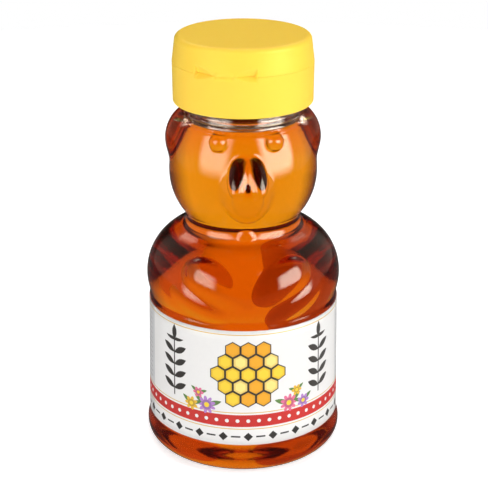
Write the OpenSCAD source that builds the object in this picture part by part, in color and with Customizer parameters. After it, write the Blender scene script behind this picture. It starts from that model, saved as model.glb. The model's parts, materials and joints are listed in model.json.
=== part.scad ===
// Honey bear squeeze jar with a wrap-round label and a flip-top screw closure.
// The origin is on the table under the middle of the base, +Z up, and the face looks along -Y.

/* [Body] */
// How far the foot ring stands out from the lower end of the panel
foot_proud = 0.8; // [0.4:0.1:1.6]
// Radius of the round at the bottom of the foot ring
foot_round = 5.5; // [4:0.1:6.5]
// Height from the table to the lower end of the label panel
foot_h = 10; // [9:0.5:14]
// Width of the flat ring that the jar stands on
rest_w = 2.5; // [1.5:0.1:4]
// Height of the dome pushed up into the base
dome_h = 3; // [2:0.1:5]
// Radius of the label panel at its lower end
panel_r = 31.2; // [28:0.1:34]
// How much narrower the label panel is at its upper end
panel_taper = 0.7; // [0.2:0.1:1.2]
// Height of the label panel
panel_h = 41; // [30:0.5:55]
// How far the shoulder stands out from the upper end of the panel
shoulder_proud = 0.66; // [0.3:0.02:1]
// Height from the top of the panel to the widest part of the shoulder
shoulder_rise = 7.5; // [6:0.5:10]
// Radius of the shoulder's curve
shoulder_round = 17.5; // [16:0.1:19]
// Radius of the hollow between shoulder and head
waist_round = 3.6; // [2.5:0.1:4.5]
// Wall thickness of the blown body
wall = 0.6; // [0.4:0.05:1]

/* [Head] */
// Radius of the head at its widest
head_r = 23.4; // [22.8:0.1:25]
// Height from the widest part of the shoulder to the widest part of the head
head_rise = 34.5; // [33:0.5:37]
// Radius of the cheeks' curve, below the widest part
cheek_round = 21; // [20:0.1:21.8]
// Height from the widest part of the head to the root of the neck
brow_h = 17.3; // [16:0.1:19]
// Radius of an ear
ear_r = 12.3; // [11:0.1:12.8]
// Half the thickness of an ear, front to back
ear_half_t = 9.75; // [8:0.25:11]
// Depth of an ear's middle inside the head's widest part
ear_in = 11.2; // [10.5:0.1:12]
// Height of the ears' middle above the widest part of the head
ear_up = 10.5; // [9:0.1:11]
// Radius of an eye
eye_r = 3.2; // [2.4:0.1:3.6]
// Distance of an eye's middle from the centre line
eye_x = 8.3; // [7:0.1:9]
// Depth of the eyes' middles behind the head's widest part
eye_in = 6; // [5.4:0.1:6.4]
// Height of the eyes above the widest part of the head
eye_up = 14.4; // [13:0.1:14.8]
// Radius of the muzzle across
muzzle_r = 8.2; // [7:0.1:9]
// Half the length of the muzzle, forehead to chin
muzzle_half_h = 9.6; // [8.5:0.1:10.5]
// Depth of the muzzle's middle behind the head's widest part
muzzle_in = 3; // [2.4:0.1:3.9]
// Height of the muzzle's middle above the widest part of the head
muzzle_up = 2; // [0:0.1:3]
// Lean of the muzzle, its top towards the forehead
muzzle_lean = 15; // [5:1:20]
// Radius of the nose
nose_r = 4.6; // [3.8:0.1:5]
// Height of the nose above the muzzle's middle
nose_up = 1.6; // [0:0.1:3]
// How far the nose stands out from the muzzle
nose_proud = 0.8; // [0.4:0.1:1.4]

/* [Limbs] */
// Radius of an arm's section in its middle
arm_r = 5.2; // [4.4:0.1:5.6]
// Half the length of an arm
arm_half = 14; // [11:0.5:15]
// Depth of an arm's middle inside the shoulder's widest part
arm_in = 6.6; // [6.2:0.1:7]
// Height of an arm's middle above the widest part of the shoulder
arm_up = 7.8; // [7:0.1:8.5]
// Slope of an arm, down towards the chest
arm_slope = 20; // [12:1:26]
// Angle from the middle of the chest to an arm's middle
arm_turn = 30; // [28:1:38]
// Radius of a leg's section in its middle
leg_r = 4.6; // [4:0.1:5]
// Half the length of a leg
leg_half = 11; // [9:0.5:13]
// Depth of a leg's middle inside the shoulder's widest part
leg_in = 3.4; // [3:0.1:3.8]
// Height of a leg's middle above the widest part of the shoulder
leg_up = 2.6; // [2:0.1:3.2]
// Slope of a leg, down towards the belly
leg_slope = 12; // [6:1:18]
// Angle from the middle of the belly to a leg's middle
leg_turn = 34; // [30:1:40]

/* [Neck] */
// Width of the ledge round the neck's root
root_w = 0.8; // [0.4:0.1:1.2]
// Width of the chamfer between that ledge and the forehead
root_chamfer = 0.8; // [0.4:0.1:1.2]
// Radius of the neck, without its threads
neck_r = 17.9; // [16:0.1:18.4]
// Wall thickness of the neck
neck_wall = 1.6; // [1.2:0.1:2]
// Height of the neck from its root to its rim
neck_h = 15.6; // [15:0.1:17]
// How far the transfer ring stands out from the neck
ring_proud = 1; // [0.8:0.05:1.2]
// Height of the transfer ring
ring_h = 2.4; // [1.6:0.1:2.8]
// Height of the transfer ring's lower edge above the neck's root
ring_up = 1.6; // [1.2:0.1:2]

/* [Contents and label] */
// Gap between the honey and the wall
honey_gap = 0.05; // [0.02:0.01:0.2]
// Depth of the honey's level below the neck's root
headspace = 0.3; // [0.1:0.1:20]
// Thickness of the label
label_t = 0.12; // [0.08:0.01:0.3]
// Thickness of the glue under the label
glue_t = 0.03; // [0.02:0.01:0.05]
// Bare margin of the panel above and below the label
label_margin = 0.75; // [0.5:0.05:8]
// Width of the bare strip between the label's ends, at the back
label_gap = 9; // [4:0.5:30]

/* [Closure] */
// Width of the groove between the inner and the outer skirt
groove_w = 0.95; // [0.6:0.05:2]
// Height from the closure's lower edge to the parting line
skirt_h = 12.8; // [12.8:0.1:14]
// Draft of the outer skirt, in radius
skirt_draft = 0.1; // [0:0.05:0.3]
// Wall thickness of the outer skirt and of the lid's side
cap_wall = 1.1; // [0.9:0.05:1.3]
// Wall thickness of the inner skirt that carries the thread
thread_wall = 0.9; // [0.7:0.05:1]
// Radial gap between the inner skirt and the transfer ring
thread_gap = 0.15; // [0.1:0.05:0.3]
// Thickness of the deck
deck_t = 1.4; // [1:0.1:1.5]
// Height from the top of the deck to the parting line
deck_drop = 0.2; // [0.1:0.05:0.4]
// Depth of solid corner over the groove between the skirts
corner_h = 2.8; // [2.6:0.1:3.4]
// Turn of the tightened closure away from the face
closed_turn = -18; // [-180:1:180]
// Gap between the lid's wall and the ring that it closes round
snap_gap = 0.7; // [0.6:0.05:1.2]
// Height of that ring above the parting line
snap_h = 1.2; // [0.8:0.1:2]
// Wall thickness of that ring
snap_wall = 1; // [0.7:0.1:1.4]
// Radius of the hole that the honey pours through
pour_r = 2.4; // [1.5:0.1:3]
// Radius of the spout at its foot
spout_foot_r = 5.6; // [5:0.1:7]
// Radius of the spout at its lip
spout_lip_r = 4; // [3.8:0.1:4.6]
// Height of the spout above the parting line
spout_h = 4.6; // [3:0.1:4.8]

/* [Lid] */
// Height of the lid
lid_h = 8.2; // [8:0.1:10]
// Gap between the lid and the skirt at the parting line
part_gap = 0.12; // [0.08:0.01:0.2]
// Draft of the lid's side, in radius
lid_draft = 0.8; // [0.4:0.1:1.2]
// Round of the lid's top edge
lid_round = 1.7; // [1:0.1:2]
// Thickness of the lid's top
lid_top_t = 1.2; // [0.9:0.1:1.5]
// Gap between the sealing pin and the spout's hole
pin_gap = 0.12; // [0.1:0.01:0.2]
// Half the width of the thumb notch
notch_half_w = 9.7; // [8.5:0.1:10]
// Half the width of the plain lip in the middle of the notch
lip_half_w = 3; // [2:0.1:4]
// Depth of the notch at its ends
notch_d = 2.2; // [1.6:0.1:2.3]
// Height of the notch above the parting line, at its ends
notch_up = 3.2; // [2.4:0.1:3.6]
// Depth of the notch below the parting line, at its ends
notch_down = 1.7; // [1.2:0.1:2]
// Thickness of material left behind the notch
notch_back = 0.8; // [0.6:0.1:1]
// How far the plain lip in the middle of the notch flares out
lip_proud = 0.45; // [0.3:0.05:0.6]
// Height over which the lip flares out
lip_h = 1.6; // [1:0.1:2.4]
// Depth of the recess in the skirt under the lip
recess_d = 0.6; // [0.4:0.05:0.8]
// Height of the recess in the skirt under the lip
recess_h = 1; // [0.6:0.1:1.4]

/* [Hinge and liner] */
// Depth of the flat on the back of the closure
flat_d = 0.7; // [0.6:0.05:0.8]
// Distance of the hinge line outside that flat
hinge_out = 0.3; // [0.28:0.02:0.4]
// Thickness of the hinge film
film_t = 0.35; // [0.25:0.05:0.4]
// Width of the hinge film
film_w = 8.5; // [5:0.1:9.5]
// Height of the hinge film, half above and half below the parting line
film_h = 3.2; // [2:0.1:4]
// Gap between the film and the lid
film_gap = 0.02; // [0.01:0.01:0.05]
// Thickness of the ring liner between the rim and the deck
liner_t = 0.7; // [0.5:0.05:0.8]
// Width of the ring liner
liner_w = 3; // [2:0.1:4]
// Gap between the liner and what it touches
liner_gap = 0.03; // [0.02:0.01:0.05]

/* [Hidden] */
$fn = 96;
eps = 0.01;
lap = 1;

// Heights up the jar
panel_z = foot_h + panel_h;
shoulder_z = panel_z + shoulder_rise;
head_z = shoulder_z + head_rise;
neck_z = head_z + brow_h;
rim_z = neck_z + neck_h;
deck_z = rim_z + liner_t + 2 * liner_gap;
part_z = deck_z + deck_t + deck_drop;
skirt_z = part_z - skirt_h;
lid_z = part_z + part_gap;
top_z = part_z + lid_h;

// Radii up the jar
foot_r = panel_r + foot_proud;
panel_top_r = panel_r - panel_taper;
shoulder_r = panel_top_r + shoulder_proud;
neck_root_r = neck_r + root_w;
ring_r = neck_r + ring_proud;
bore_r = neck_r - neck_wall;
ear_x = head_r - ear_in;
dome_foot_r = foot_r - foot_round - rest_w;
dome_r = (dome_foot_r * dome_foot_r + dome_h * dome_h) / (2 * dome_h);

// Centres of the arcs in the jar's outline, as [radius, height]
foot_c = [foot_r - foot_round, foot_round];
shoulder_c = [shoulder_r - shoulder_round, shoulder_z];
cheek_c = [head_r - cheek_round, head_z];

// The forehead's arc runs from the widest part to the chamfer round the neck's root
brow_drop = head_r - neck_root_r - root_chamfer;
brow_rise = brow_h - lap;
brow_round = (brow_drop * brow_drop + brow_rise * brow_rise) / (2 * brow_drop);
brow_c = [head_r - brow_round, head_z];
brow_end = asin(brow_rise / brow_round);

// The waist's arc touches the shoulder's and the cheek's from outside
waist_span = norm(cheek_c - shoulder_c);
waist_dir = (cheek_c - shoulder_c) / waist_span;
waist_low = shoulder_round + waist_round;
waist_high = cheek_round + waist_round;
waist_along = (waist_low * waist_low - waist_high * waist_high + waist_span * waist_span) / (2 * waist_span);
waist_side = sqrt(waist_low * waist_low - waist_along * waist_along);
waist_c = shoulder_c + waist_along * waist_dir + waist_side * [waist_dir[1], -waist_dir[0]];
shoulder_end = atan2(waist_c[1] - shoulder_c[1], waist_c[0] - shoulder_c[0]);
cheek_start = atan2(waist_c[1] - cheek_c[1], waist_c[0] - cheek_c[0]);
shoulder_start = -8;

// Closure
thread_in_r = ring_r + thread_gap;
thread_out_r = thread_in_r + thread_wall;
cap_r = thread_out_r + groove_w + cap_wall;
skirt_r = cap_r - skirt_draft;
snap_r = cap_r - cap_wall - snap_gap;
lid_top_r = cap_r - lid_draft;
flat_y = cap_r - flat_d;
hinge_y = flat_y + hinge_out;
pin_r = pour_r - pin_gap;
lip_z = part_z + spout_h;
pad_y = sqrt(cap_r * cap_r - notch_half_w * notch_half_w) - notch_d - notch_back;
lip_angle = asin((lip_half_w - 2 * part_gap) / cap_r);
liner_out_r = min(thread_in_r - 2 * liner_gap, bore_r + liner_w);
liner_in_r = liner_out_r - liner_w;

// Points of an arc about c, from angle a to angle b
function arc(c, r, a, b, n) = [for (i = [0:n]) c + r * [cos(a + (b - a) * i / n), sin(a + (b - a) * i / n)]];

// Outline of the jar from the base to the neck's root, moved inwards by t.
// The arcs keep their centres, so the wall has the same thickness all the way up.
function jar_outline(t) = concat(
    [[0, t]],
    arc(foot_c, foot_round - t, -90, 0, 6),
    [[foot_r - t, foot_round + lap], [panel_r - t, foot_h], [panel_top_r - t, panel_z]],
    arc(shoulder_c, shoulder_round - t, shoulder_start, shoulder_end, 9),
    arc(waist_c, waist_round + t, shoulder_end + 180, cheek_start + 180, 7),
    arc(cheek_c, cheek_round - t, cheek_start, 0, 6),
    arc(brow_c, brow_round - t, brow_end / 5, brow_end, 4),
    [[t > 0 ? bore_r + wall - t : neck_root_r, neck_z], [0, neck_z]]
);

// Half of an oval, for turning about its long or short axis
function half_oval(across, along, n) = [for (i = [0:n]) [across * cos(180 * i / n - 90), along * sin(180 * i / n - 90)]];

// A solid oval, round about Z
module oval(across, along) {
    rotate_extrude() polygon(half_oval(across, along, 15));
}

// A limb lies along the body, its ends sunk in, at an angle round from the front
module limb(across, along, out, z, slope, turn) {
    rotate([0, 0, turn]) translate([0, -out, z]) rotate([0, 90 - slope, 0]) oval(across, along);
}

// An ear, cut off inside the head
module ear(t) {
    intersection() {
        translate([ear_x, 0, head_z + ear_up]) rotate([90, 0, 0]) oval(ear_r - t, ear_half_t - t);
        translate([bore_r / 2, -ear_r, head_z]) cube([2 * ear_r, 2 * ear_r, 2 * ear_r]);
    }
}

// One side's ear, eye, arm and leg, moved inwards by t
module side_forms(t) {
    ear(t);
    translate([eye_x, eye_in - head_r, head_z + eye_up]) sphere(eye_r - t);
    limb(arm_r - t, arm_half - t, shoulder_r - arm_in, shoulder_z + arm_up, arm_slope, arm_turn);
    limb(leg_r - t, leg_half - t, shoulder_r - leg_in, shoulder_z + leg_up, leg_slope, leg_turn);
}

module muzzle(t) {
    translate([0, muzzle_in - head_r, head_z + muzzle_up]) {
        rotate([-muzzle_lean, 0, 0]) oval(muzzle_r - t, muzzle_half_h - t);
        translate([0, nose_r - muzzle_r - nose_proud, nose_up]) sphere(nose_r - t);
    }
}

// The whole blown form without its neck, moved inwards by t
module bear_form(t) {
    difference() {
        union() {
            rotate([0, 0, 90]) rotate_extrude() polygon(jar_outline(t));
            side_forms(t);
            mirror([1, 0, 0]) side_forms(t);
            muzzle(t);
        }
        translate([0, 0, dome_h - dome_r]) sphere(dome_r + t, $fn = 192);
    }
}

module neck_finish() {
    translate([0, 0, neck_z - lap]) cylinder(r = neck_r, h = neck_h + lap);
    translate([0, 0, neck_z + ring_up]) rotate_extrude() polygon([
        [0, 0], [ring_r - lap / 2, 0], [ring_r, lap / 2], [ring_r, ring_h - lap / 2], [ring_r - lap / 2, ring_h], [0, ring_h]
    ]);
}

module bottle() {
    color([0.9, 0.75, 0.6, 0.45]) difference() {
        union() {
            bear_form(0);
            neck_finish();
        }
        bear_form(wall);
        translate([0, 0, neck_z - lap / 2]) cylinder(r = bore_r, h = neck_h + lap);
    }
}

module honey() {
    color([0.85, 0.42, 0.05]) difference() {
        bear_form(wall + honey_gap);
        translate([0, 0, neck_z - headspace]) cylinder(r = foot_r, h = neck_h + lap);
    }
}

// The label follows the panel's taper and leaves a bare strip at the back
module label() {
    low = foot_h + label_margin;
    high = panel_z - label_margin;
    in_low = panel_r - panel_taper * label_margin / panel_h + glue_t;
    in_high = panel_top_r + panel_taper * label_margin / panel_h + glue_t;
    gap_angle = 360 * label_gap / (2 * PI * panel_r);
    color("white") rotate([0, 0, 90 + gap_angle / 2]) rotate_extrude(angle = 360 - gap_angle) polygon([
        [in_low, low], [in_low + label_t, low], [in_high + label_t, high], [in_high, high]
    ]);
}

module liner() {
    color("ivory") translate([0, 0, rim_z + liner_gap]) difference() {
        cylinder(r = liner_out_r, h = liner_t);
        translate([0, 0, -lap]) cylinder(r = liner_in_r, h = liner_t + 2 * lap);
    }
}

// One half of the thumb notch: a groove that starts at the lip and deepens to its end
module notch_side() {
    start = [lip_half_w, -sqrt(cap_r * cap_r - lip_half_w * lip_half_w)];
    stop = [notch_half_w, -sqrt(cap_r * cap_r - notch_half_w * notch_half_w) + notch_d];
    turn = atan2(stop[1] - start[1], stop[0] - start[0]);
    reach = 3 * notch_d;
    deep = notch_d * cos(turn);
    intersection() {
        translate([start[0], start[1], part_z]) rotate([0, 0, turn]) rotate([90, 0, 90])
            linear_extrude(norm(stop - start) + reach)
                polygon([[0, 0], [-reach, notch_up * reach / deep], [-reach, -notch_down * reach / deep]]);
        translate([0, -cap_r - reach, part_z - lid_h]) cube([notch_half_w, cap_r + reach, 2 * lid_h]);
    }
}

module thumb_notch() {
    notch_side();
    mirror([1, 0, 0]) notch_side();
}

// A short stretch of a ring in the middle of the notch, between its two grooves
module lip_stretch(outline) {
    rotate([0, 0, -90 - lip_angle]) rotate_extrude(angle = 2 * lip_angle) polygon(outline);
}

// The lip flares out to its sharp lower edge
module lip() {
    lip_stretch([
        [cap_r - lap, lid_z], [cap_r + lip_proud, lid_z], [cap_r - lid_draft / 4, lid_z + lip_h], [cap_r - lap, lid_z + lip_h]
    ]);
}

// The thumb gets under the lip in this recess of the skirt
module lip_recess() {
    lip_stretch([
        [cap_r - recess_d, part_z - recess_h], [cap_r + lap, part_z - recess_h - recess_d],
        [cap_r + lap, part_z + lap], [cap_r - recess_d, part_z + lap]
    ]);
}

// Room behind the flat on the back of the closure
module back_flat() {
    translate([-cap_r, flat_y, skirt_z - lap]) cube([2 * cap_r, cap_r, skirt_h + lid_h + 2 * lap]);
}

// The deck, both skirts, the snap ring and the spout are one moulding
module cap_body() {
    color("gold") rotate([0, 0, closed_turn]) difference() {
        union() {
            rotate_extrude() polygon([
                [0, deck_z], [thread_in_r, deck_z], [thread_in_r, skirt_z + lap], [thread_out_r, skirt_z + lap],
                [thread_out_r, part_z - corner_h], [cap_r - cap_wall, part_z - corner_h],
                [skirt_r - cap_wall, skirt_z], [skirt_r, skirt_z], [cap_r, part_z - deck_drop],
                [cap_r - deck_drop, part_z], [snap_r - snap_wall, part_z], [snap_r - snap_wall, part_z - deck_drop],
                [0, part_z - deck_drop]
            ]);
            difference() {
                translate([0, 0, part_z - deck_drop]) cylinder(r = snap_r, h = snap_h + deck_drop);
                translate([0, 0, part_z - deck_drop]) cylinder(r = snap_r - snap_wall, h = snap_h + lap);
                translate([-cap_r, -cap_r - pad_y + 4 * part_gap, part_z]) cube([2 * cap_r, cap_r, snap_h + lap]);
                translate([-cap_r, flat_y - cap_wall - 4 * part_gap, part_z]) cube([2 * cap_r, cap_r, snap_h + lap]);
            }
            translate([0, 0, deck_z]) cylinder(r1 = spout_foot_r, r2 = spout_lip_r, h = lip_z - deck_z);
        }
        translate([0, 0, deck_z - lap]) cylinder(r = pour_r, h = lip_z - deck_z + 2 * lap);
        thumb_notch();
        lip_recess();
        back_flat();
    }
}

module lid() {
    cavity_top = top_z - lid_top_t;
    wall_low = cap_r - cap_wall;
    wall_high = lid_top_r - cap_wall;
    color("gold") rotate([0, 0, closed_turn]) {
        difference() {
            rotate_extrude() polygon(concat(
                [[0, lid_z], [cap_r, lid_z]],
                arc([lid_top_r - lid_round, top_z - lid_round], lid_round, 0, 90, 5),
                [[0, top_z]]
            ));
            difference() {
                translate([0, 0, lid_z - eps]) cylinder(r1 = wall_low, r2 = wall_high, h = cavity_top - lid_z + eps);
                translate([-cap_r, -cap_r - pad_y, lid_z - lap]) cube([2 * cap_r, cap_r, lid_h]);
                translate([-cap_r, flat_y - cap_wall, lid_z - lap]) cube([2 * cap_r, cap_r, lid_h]);
            }
            thumb_notch();
            back_flat();
        }
        lip();
        translate([0, 0, lip_z]) sphere(pin_r);
        translate([0, 0, lip_z]) cylinder(r = pin_r, h = cavity_top + eps - lip_z);
    }
}

// The film lies on the flats and bends on a line just outside them
module living_hinge() {
    color("gold") rotate([0, 0, closed_turn])
        translate([-film_w / 2, flat_y + film_gap, part_z - film_h / 2]) cube([film_w, film_t, film_h]);
}

bottle();
honey();
label();
liner();
cap_body();
living_hinge();
lid();
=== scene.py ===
"""Honey bear bottle: a clear squeeze jar of honey with a paper label and a yellow flip-top closure."""

import json
import math

import bpy
import numpy as np
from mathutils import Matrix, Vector


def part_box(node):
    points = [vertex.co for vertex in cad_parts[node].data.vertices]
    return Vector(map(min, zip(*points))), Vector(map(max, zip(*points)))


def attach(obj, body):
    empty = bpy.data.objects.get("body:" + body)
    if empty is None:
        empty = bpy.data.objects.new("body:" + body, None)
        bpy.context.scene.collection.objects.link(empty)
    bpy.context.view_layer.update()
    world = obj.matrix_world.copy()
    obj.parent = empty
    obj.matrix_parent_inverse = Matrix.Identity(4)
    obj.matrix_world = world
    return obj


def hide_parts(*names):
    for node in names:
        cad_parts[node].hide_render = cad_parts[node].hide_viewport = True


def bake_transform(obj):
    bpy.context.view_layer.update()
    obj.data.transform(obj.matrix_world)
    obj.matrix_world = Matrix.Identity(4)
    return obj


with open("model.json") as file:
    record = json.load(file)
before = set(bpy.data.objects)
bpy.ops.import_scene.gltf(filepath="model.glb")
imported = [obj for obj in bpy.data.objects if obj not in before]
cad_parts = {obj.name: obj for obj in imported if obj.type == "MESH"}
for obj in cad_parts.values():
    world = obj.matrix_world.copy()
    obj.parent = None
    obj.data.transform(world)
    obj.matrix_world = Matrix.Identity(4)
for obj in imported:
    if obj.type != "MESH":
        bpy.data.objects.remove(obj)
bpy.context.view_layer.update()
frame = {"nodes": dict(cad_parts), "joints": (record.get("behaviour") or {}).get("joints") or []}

# Lengths below are in millimetres, and become metres when a mesh is made
MM = 0.001

# Heights of the jar and the closure, read from the frame
JAR_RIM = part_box("bottle")[1].z / MM
LABEL_LOW, LABEL_HIGH = (corner.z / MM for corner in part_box("label"))
LID_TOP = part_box("lid")[1].z / MM
SKIRT_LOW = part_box("cap_body")[0].z / MM
HONEY_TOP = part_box("honey")[1].z / MM
JOINTS = {joint["name"]: joint for joint in frame["joints"]}
PARTING = JOINTS["lid_hinge"]["pos_m"][2] / MM
LID_LOW = PARTING + 0.05
CLOSED_TURN = math.atan2(-JOINTS["lid_hinge"]["pos_m"][0], JOINTS["lid_hinge"]["pos_m"][1])

# The blown jar. Honey bends light almost as the wall does, so where it wets the wall the two are drawn
# as honey under a thin clear skin, and its colour reaches out to the jar's edge
SKIN, HONEY_IN = 0.12, 0.15
FOOT_R, FOOT_ROUND, FOOT_H, REST_W, DOME_H = 32.0, 5.5, 10.0, 2.5, 3.0
PANEL_R, PANEL_TOP_R, PANEL_TOP = 31.2, 30.5, 51.0
SHOULDER_R, SHOULDER_Z, SHOULDER_ROUND = 31.16, 58.5, 17.5
HEAD_R, HEAD_Z, CHEEK_ROUND, BROW_ROUND = 23.4, 93.0, 21.0, 35.6
WAIST_ROUND = 3.6
NECK_ROOT = 110.3
NECK_R, NECK_WALL = 17.9, 1.6
RING_R, RING_H, RING_UP = 18.9, 2.4, 1.6
THREAD_LEAD, THREAD_LOW = 25.4 / 6, 116.6
EAR_BLEND, EAR_IN_X, EAR_UP = 0.8, 16, 6

# The label: its thickness, the glue under it, and half the bare strip between its ends in degrees
LABEL_T, GLUE_T, BARE_HALF = 0.12, 0.03, 8.3

# How finely the jar is drawn: degrees from one column to the next in front and at the back, and
# how far round from the middle of the face the fine columns go
FACE_STEP, BACK_STEP, FACE_HALF = 0.75, 2.6, 62

# The closure
CAP_R, SKIRT_R, CAP_WALL = 22.0, 21.9, 1.1
THREAD_IN_R, THREAD_OUT_R, CORNER_H = 19.05, 19.95, 2.8
DECK_T, DECK_DROP = 1.4, 0.2
SNAP_R, SNAP_WALL, SNAP_H = 20.2, 1.0, 1.2
POUR_R, SPOUT_LIP_R, SPOUT_H = 2.4, 4.0, 4.6
LID_TOP_R, LID_ROUND, LID_TOP_T, PIN_R = 21.2, 1.7, 1.2, 2.28
NOTCH_HALF_W, LIP_HALF_W, NOTCH_D, NOTCH_UP, NOTCH_DOWN, NOTCH_DRAFT = 9.7, 3.0, 1.7, 3.2, 1.7, 1.2
LIP_EDGE, LIP_PROUD, LIP_H, RECESS_D, RECESS_H = 2.76, 0.4, 1.5, 0.4, 1.0
FLAT_Y, PAD_Y = 21.3, 16.75
FILM_W, FILM_H, FILM_T, GROOVE_SHARE, GROOVE_HALF = 8.5, 3.2, 0.35, 0.55, 0.45
# The closure's fine columns go this far across its front, and its deck is plain out to this radius.
# The snap ring has a gap in front and one at the back, each given as half its angle in degrees
FINE_HALF_W, DECK_R, SNAP_GAP_FRONT, SNAP_GAP_BACK = 12, 15.5, 36.3, 12.5


def arc(centre, radius, start, end, count):
    """Points of an arc in the (radius, height) plane, from start to end in degrees."""
    angles = np.radians(np.linspace(start, end, count + 1))
    return np.stack([centre[0] + radius * np.cos(angles), centre[1] + radius * np.sin(angles)], 1)


def smooth_max(a, b, blend):
    """The larger of two fields, with a fillet of about the blend's size where they meet."""
    h = np.maximum(blend - np.abs(a - b), 0) / blend
    return np.maximum(a, b) + h * h * blend / 4


def smooth_min(a, b, blend):
    return -smooth_max(-a, -b, blend)


def smooth_step(x, low, high):
    t = np.clip((x - low) / (high - low), 0, 1)
    return t * t * (3 - 2 * t)


def turned(degrees_x, degrees_y, degrees_z):
    """Rotation about X, then Y, then Z."""
    x, y, z = (math.radians(d) for d in (degrees_x, degrees_y, degrees_z))
    about_x = np.array([[1, 0, 0], [0, math.cos(x), -math.sin(x)], [0, math.sin(x), math.cos(x)]])
    about_y = np.array([[math.cos(y), 0, math.sin(y)], [0, 1, 0], [-math.sin(y), 0, math.cos(y)]])
    about_z = np.array([[math.cos(z), -math.sin(z), 0], [math.sin(z), math.cos(z), 0], [0, 0, 1]])
    return about_z @ about_y @ about_x


class Oval:
    """A solid oval that stands in the jar's wall, such as an ear or a paw."""

    def __init__(self, centre, radii, turn=None, fillet=1.0):
        self.centre = np.array(centre, float)
        self.radii = np.array(radii, float)
        self.turn = np.eye(3) if turn is None else turn
        self.fillet = fillet

    def reach(self, theta, z, inwards):
        """Distance from the jar's axis to the oval's far side, and -1 where the ray misses it."""
        to_unit = np.diag(1 / (self.radii - inwards)) @ self.turn.T
        along = np.stack([np.cos(theta), np.sin(theta), np.zeros_like(theta)], -1) @ to_unit.T
        start = np.stack([np.zeros_like(z), np.zeros_like(z), z], -1)
        off = (start - self.centre) @ to_unit.T
        a = (along * along).sum(-1)
        b = (along * off).sum(-1)
        c = (off * off).sum(-1) - 1
        inside = b * b - a * c
        far = (-b + np.sqrt(np.maximum(inside, 0))) / a
        return np.where(inside > 0, far, -1.0)


def mirrored(oval):
    """The same oval on the other side of the face."""
    flip = np.diag([-1.0, 1.0, 1.0])
    return Oval(flip @ oval.centre, oval.radii, flip @ oval.turn @ flip, oval.fillet)


def limb(across, along, out, z, slope, turn, fillet):
    """A limb lies along the shoulder, at an angle round from the front."""
    angle = math.radians(turn)
    return Oval(
        [out * math.sin(angle), -out * math.cos(angle), z],
        [across, across, along],
        turned(0, 90 - slope, turn),
        fillet,
    )


def bear_ovals():
    """Muzzle, chin and the chest's tab, then the halves of the nose, ears, eyes, arms and legs."""
    slope = turned(-52, 0, 0) @ turned(0, -13, 0)
    middle = [
        Oval([0, -19.8, HEAD_Z - 0.2], [8.3, 8.2, 10.6], turned(-25, 0, 0), fillet=2.0),
        Oval([0, -27.0, HEAD_Z - 1.2], [4.9, 3.2, 5.6], fillet=1.4),
        Oval([0, 0.9 - side_radius(76.0, 0), 76.0], [3.1, 1.3, 2.8], fillet=0.3),
    ]
    one_side = [
        Oval([12.2, 0, HEAD_Z + 10.5], [12.3, 9.75, 12.3], fillet=1.6),
        Oval([1.9, -22.7, HEAD_Z + 6.4], [3.9, 3.4, 9.6], slope, fillet=0.9),
        Oval([8.3, -18.6, HEAD_Z + 14.4], [3.05, 3.05, 3.1], fillet=0.35),
        limb(8.4, 13.4, SHOULDER_R - 7.8, SHOULDER_Z + 3.8, 23, 19, 0.8),
        limb(7.0, 12.8, SHOULDER_R - 6.35, SHOULDER_Z - 1.0, 20, 31, 0.7),
    ]
    return middle + one_side + [mirrored(oval) for oval in one_side]


def waist():
    """Centre of the waist's arc, and the angles at which it touches the shoulder and the cheek."""
    shoulder = np.array([SHOULDER_R - SHOULDER_ROUND, SHOULDER_Z])
    cheek = np.array([HEAD_R - CHEEK_ROUND, HEAD_Z])
    span = np.linalg.norm(cheek - shoulder)
    along = (cheek - shoulder) / span
    low, high = SHOULDER_ROUND + WAIST_ROUND, CHEEK_ROUND + WAIST_ROUND
    run = (low * low - high * high + span * span) / (2 * span)
    side = math.sqrt(low * low - run * run)
    centre = shoulder + run * along + side * np.array([along[1], -along[0]])
    touch_low = math.degrees(math.atan2(centre[1] - shoulder[1], centre[0] - shoulder[0]))
    touch_high = math.degrees(math.atan2(centre[1] - cheek[1], centre[0] - cheek[0]))
    return centre, touch_low, touch_high


def jar_side(inwards):
    """The jar's side from the foot ring to the neck's root, as (radius, height), moved inwards."""
    waist_centre, touch_low, touch_high = waist()
    brow_end = math.degrees(math.asin((NECK_ROOT - HEAD_Z - 1) / BROW_ROUND))
    return np.concatenate([
        [[FOOT_R - inwards, FOOT_ROUND], [FOOT_R - inwards, FOOT_ROUND + 1]],
        [[PANEL_R - inwards, FOOT_H], [PANEL_TOP_R - inwards, PANEL_TOP]],
        arc((SHOULDER_R - SHOULDER_ROUND, SHOULDER_Z), SHOULDER_ROUND - inwards, -20, touch_low, 60),
        arc(waist_centre, WAIST_ROUND + inwards, touch_low + 180, touch_high + 180, 30),
        arc((HEAD_R - CHEEK_ROUND, HEAD_Z), CHEEK_ROUND - inwards, touch_high, 0, 50),
        arc((HEAD_R - BROW_ROUND, HEAD_Z), BROW_ROUND - inwards, 1, brow_end, 30),
    ])


def side_radius(z, inwards):
    side = jar_side(inwards)
    return np.interp(z, side[:, 1], side[:, 0])


# The bear's forms, and the places of its two ears among them
OVALS = bear_ovals()
EARS = (3, 8)


def ear_reach(theta, z, inwards):
    """How far the ears reach from the axis, and -1 where neither does."""
    level = np.full_like(theta, z)
    return np.maximum(*(OVALS[index].reach(theta, level, inwards) for index in EARS))


def spaced(start, end, step):
    """Even steps from start up to but without end."""
    return np.linspace(start, end, max(1, round((end - start) / step)), endpoint=False)


def front_columns():
    """Angles round the jar, close together where the face is and wider at the back."""
    front = spaced(-90 - FACE_HALF, -90 + FACE_HALF, FACE_STEP)
    back = spaced(-90 + FACE_HALF, 270 - FACE_HALF, BACK_STEP)
    return np.radians(np.concatenate([front, back]))


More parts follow.
